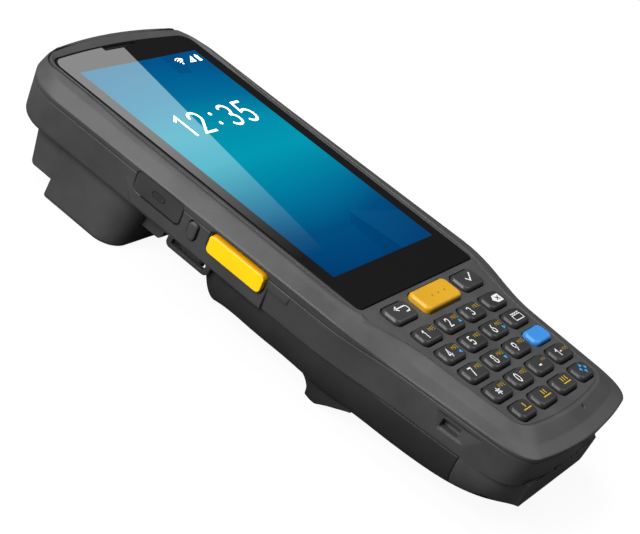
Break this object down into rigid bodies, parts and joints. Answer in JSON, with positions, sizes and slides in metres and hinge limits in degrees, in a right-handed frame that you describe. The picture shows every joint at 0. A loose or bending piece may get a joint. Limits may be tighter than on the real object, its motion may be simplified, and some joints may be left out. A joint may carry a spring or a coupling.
{
  "type": "portable barcode data terminal",
  "caption": "Handheld barcode terminal: large touch screen above a keypad, scanner hump on the back, side scan buttons, socket flap and hinged battery cover.",
  "frame": {"origin": "on the surface the terminal lies on, under the middle of its bounding box", "axes": "+Y along the terminal towards the scanner end, +Z out of the screen, +X to the right seen from the screen with the keypad nearest"},
  "size_m": [0.0802, 0.1722, 0.0332],
  "materials": {
    "shell": "satin",
    "plate": "satin",
    "hood": "satin",
    "cover": "satin",
    "seal": "matte",
    "mat": "matte",
    "cover_rubber": "matte",
    "scan_window": "polished",
    "module": "matte",
    "cover_glass": "polished",
    "display": "polished",
    "chassis_metal": "satin",
    "steel": "satin",
    "board": "gloss",
    "contact": "polished",
    "battery": "satin",
    "lug": "satin",
    "yellow": "gloss",
    "key_amber": "gloss",
    "key_blue": "gloss",
    "key_dark": "satin",
    "key_light": "satin"
  },
  "bodies": {
    "housing": {"front_shell": "shell", "front_plate": "plate", "rear_shell": "shell", "case_seal": "seal", "screw_plugs": "seal", "scanner_hood": "hood", "scanner_window": "scan_window", "scanner_engine": "module", "camera_window": "scan_window", "camera_module": "module", "touch_glass": "cover_glass", "glass_seal": "seal", "lcd_module": "display", "chassis": "chassis_metal", "main_board": "board", "shield_cans": "steel", "keypad_board": "board", "keypad_mat": "mat", "usb_socket": "steel", "side_switches": "module", "earpiece": "module", "loudspeaker": "module", "microphone": "module", "vibration_motor": "steel", "charge_contacts": "contact", "battery_pack": "battery", "battery_contacts": "module", "strap_lug_left": "lug", "strap_lug_right": "lug", "long_screws": "steel", "short_screws": "steel"},
    "battery_cover": {"battery_cover": "cover", "ridge_pads": "seal"},
    "usb_cover": {"usb_cover": "cover_rubber"},
    "scan_button_left": {"scan_button_left": "yellow"},
    "scan_button_right": {"scan_button_right": "yellow"},
    "power_button": {"power_button": "shell"},
    "key_back": {"key_back": "key_light"},
    "key_scan": {"key_scan": "key_amber"},
    "key_ok": {"key_ok": "key_light"},
    "key_1": {"key_1": "key_dark"},
    "key_2": {"key_2": "key_dark"},
    "key_3": {"key_3": "key_dark"},
    "key_erase": {"key_erase": "key_dark"},
    "key_4": {"key_4": "key_dark"},
    "key_5": {"key_5": "key_dark"},
    "key_6": {"key_6": "key_dark"},
    "key_menu": {"key_menu": "key_dark"},
    "key_7": {"key_7": "key_dark"},
    "key_8": {"key_8": "key_dark"},
    "key_9": {"key_9": "key_dark"},
    "key_blue": {"key_blue": "key_blue"},
    "key_star": {"key_star": "key_dark"},
    "key_0": {"key_0": "key_dark"},
    "key_dash": {"key_dash": "key_dark"},
    "key_shift": {"key_shift": "key_dark"},
    "key_f1": {"key_f1": "key_dark"},
    "key_f2": {"key_f2": "key_dark"},
    "key_f3": {"key_f3": "key_dark"},
    "key_arrows": {"key_arrows": "key_dark"}
  },
  "joints": [
    {"name": "battery_cover_hinge", "type": "hinge", "parent": "housing", "child": "battery_cover", "pos_m": [0, -0.068, 0.0059], "axis": [-1, 0, 0], "range_deg": [0, 40]},
    {"name": "usb_cover_hinge", "type": "hinge", "parent": "housing", "child": "usb_cover", "pos_m": [-0.03855, 0.0378, 0.0256], "axis": [0.1852, 0, -0.9827], "range_deg": [0, 100]},
    {"name": "scan_button_left_press", "type": "slide", "parent": "housing", "child": "scan_button_left", "axis": [0.9827, 0, 0.1852], "range_m": [0, 0.0006], "stiffness_N_per_m": 1500, "springref_m": -0.0003},
    {"name": "scan_button_right_press", "type": "slide", "parent": "housing", "child": "scan_button_right", "axis": [-0.9827, 0, 0.1852], "range_m": [0, 0.0006], "stiffness_N_per_m": 1500, "springref_m": -0.0003},
    {"name": "power_button_press", "type": "slide", "parent": "housing", "child": "power_button", "axis": [0.9827, 0, 0.1852], "range_m": [0, 0.0006], "stiffness_N_per_m": 1500, "springref_m": -0.0003},
    {"name": "key_back_press", "type": "slide", "parent": "housing", "child": "key_back", "axis": [0, 0, -1], "range_m": [0, 0.0007], "stiffness_N_per_m": 1500, "springref_m": -0.0003},
    {"name": "key_scan_press", "type": "slide", "parent": "housing", "child": "key_scan", "axis": [0, 0, -1], "range_m": [0, 0.0007], "stiffness_N_per_m": 1500, "springref_m": -0.0003},
    {"name": "key_ok_press", "type": "slide", "parent": "housing", "child": "key_ok", "axis": [0, 0, -1], "range_m": [0, 0.0007], "stiffness_N_per_m": 1500, "springref_m": -0.0003},
    {"name": "key_1_press", "type": "slide", "parent": "housing", "child": "key_1", "axis": [0, 0, -1], "range_m": [0, 0.0007], "stiffness_N_per_m": 1500, "springref_m": -0.0003},
    {"name": "key_2_press", "type": "slide", "parent": "housing", "child": "key_2", "axis": [0, 0, -1], "range_m": [0, 0.0007], "stiffness_N_per_m": 1500, "springref_m": -0.0003},
    {"name": "key_3_press", "type": "slide", "parent": "housing", "child": "key_3", "axis": [0, 0, -1], "range_m": [0, 0.0007], "stiffness_N_per_m": 1500, "springref_m": -0.0003},
    {"name": "key_erase_press", "type": "slide", "parent": "housing", "child": "key_erase", "axis": [0, 0, -1], "range_m": [0, 0.0007], "stiffness_N_per_m": 1500, "springref_m": -0.0003},
    {"name": "key_4_press", "type": "slide", "parent": "housing", "child": "key_4", "axis": [0, 0, -1], "range_m": [0, 0.0007], "stiffness_N_per_m": 1500, "springref_m": -0.0003},
    {"name": "key_5_press", "type": "slide", "parent": "housing", "child": "key_5", "axis": [0, 0, -1], "range_m": [0, 0.0007], "stiffness_N_per_m": 1500, "springref_m": -0.0003},
    {"name": "key_6_press", "type": "slide", "parent": "housing", "child": "key_6", "axis": [0, 0, -1], "range_m": [0, 0.0007], "stiffness_N_per_m": 1500, "springref_m": -0.0003},
    {"name": "key_menu_press", "type": "slide", "parent": "housing", "child": "key_menu", "axis": [0, 0, -1], "range_m": [0, 0.0007], "stiffness_N_per_m": 1500, "springref_m": -0.0003},
    {"name": "key_7_press", "type": "slide", "parent": "housing", "child": "key_7", "axis": [0, 0, -1], "range_m": [0, 0.0007], "stiffness_N_per_m": 1500, "springref_m": -0.0003},
    {"name": "key_8_press", "type": "slide", "parent": "housing", "child": "key_8", "axis": [0, 0, -1], "range_m": [0, 0.0007], "stiffness_N_per_m": 1500, "springref_m": -0.0003},
    {"name": "key_9_press", "type": "slide", "parent": "housing", "child": "key_9", "axis": [0, 0, -1], "range_m": [0, 0.0007], "stiffness_N_per_m": 1500, "springref_m": -0.0003},
    {"name": "key_blue_press", "type": "slide", "parent": "housing", "child": "key_blue", "axis": [0, 0, -1], "range_m": [0, 0.0007], "stiffness_N_per_m": 1500, "springref_m": -0.0003},
    {"name": "key_star_press", "type": "slide", "parent": "housing", "child": "key_star", "axis": [0, 0, -1], "range_m": [0, 0.0007], "stiffness_N_per_m": 1500, "springref_m": -0.0003},
    {"name": "key_0_press", "type": "slide", "parent": "housing", "child": "key_0", "axis": [0, 0, -1], "range_m": [0, 0.0007], "stiffness_N_per_m": 1500, "springref_m": -0.0003},
    {"name": "key_dash_press", "type": "slide", "parent": "housing", "child": "key_dash", "axis": [0, 0, -1], "range_m": [0, 0.0007], "stiffness_N_per_m": 1500, "springref_m": -0.0003},
    {"name": "key_shift_press", "type": "slide", "parent": "housing", "child": "key_shift", "axis": [0, 0, -1], "range_m": [0, 0.0007], "stiffness_N_per_m": 1500, "springref_m": -0.0003},
    {"name": "key_f1_press", "type": "slide", "parent": "housing", "child": "key_f1", "axis": [0, 0, -1], "range_m": [0, 0.0007], "stiffness_N_per_m": 1500, "springref_m": -0.0003},
    {"name": "key_f2_press", "type": "slide", "parent": "housing", "child": "key_f2", "axis": [0, 0, -1], "range_m": [0, 0.0007], "stiffness_N_per_m": 1500, "springref_m": -0.0003},
    {"name": "key_f3_press", "type": "slide", "parent": "housing", "child": "key_f3", "axis": [0, 0, -1], "range_m": [0, 0.0007], "stiffness_N_per_m": 1500, "springref_m": -0.0003},
    {"name": "key_arrows_press", "type": "slide", "parent": "housing", "child": "key_arrows", "axis": [0, 0, -1], "range_m": [0, 0.0007], "stiffness_N_per_m": 1500, "springref_m": -0.0003}
  ]
}
